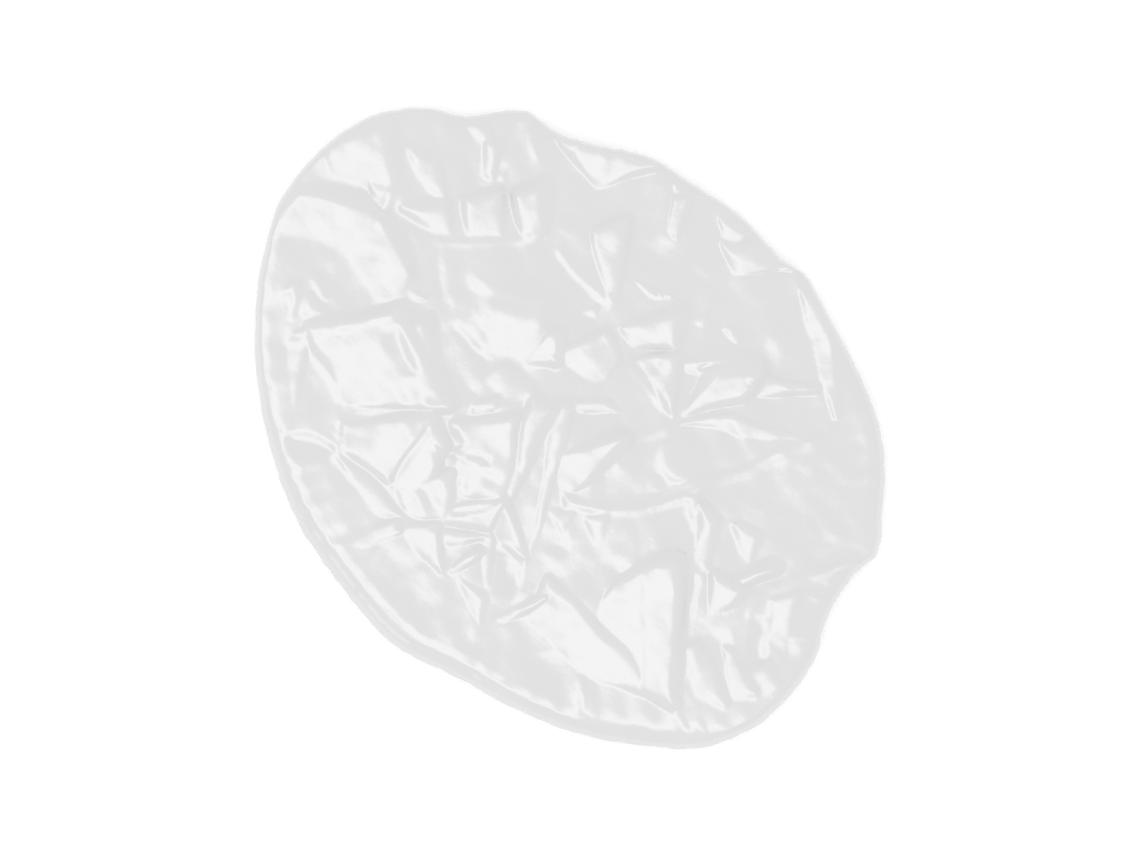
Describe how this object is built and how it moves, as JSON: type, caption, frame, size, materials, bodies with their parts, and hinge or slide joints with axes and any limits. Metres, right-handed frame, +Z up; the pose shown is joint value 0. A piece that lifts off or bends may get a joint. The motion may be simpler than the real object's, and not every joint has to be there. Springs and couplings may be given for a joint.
{
  "type": "satin shower cap",
  "caption": "Soft shower cap of pale satin lying flat, crown up: crumpled round crown with a rolled rim, gathered under onto an elastic band round an open mouth.",
  "frame": {"origin": "on the surface that the cap lies on, under the middle of its outline", "axes": "+Z up through the crown, -Z out of the mouth, +X to the cap's right and +Y to its back as the picture shows it from above"},
  "size_m": [0.3622, 0.3689, 0.0347],
  "materials": {
    "crown_satin": "silver-white satin with a soft sheen",
    "band_casing": "the same satin ruched over elastic"
  },
  "bodies": {
    "root": {"crown": "crown_satin", "elastic_band": "band_casing"}
  },
  "joints": []
}
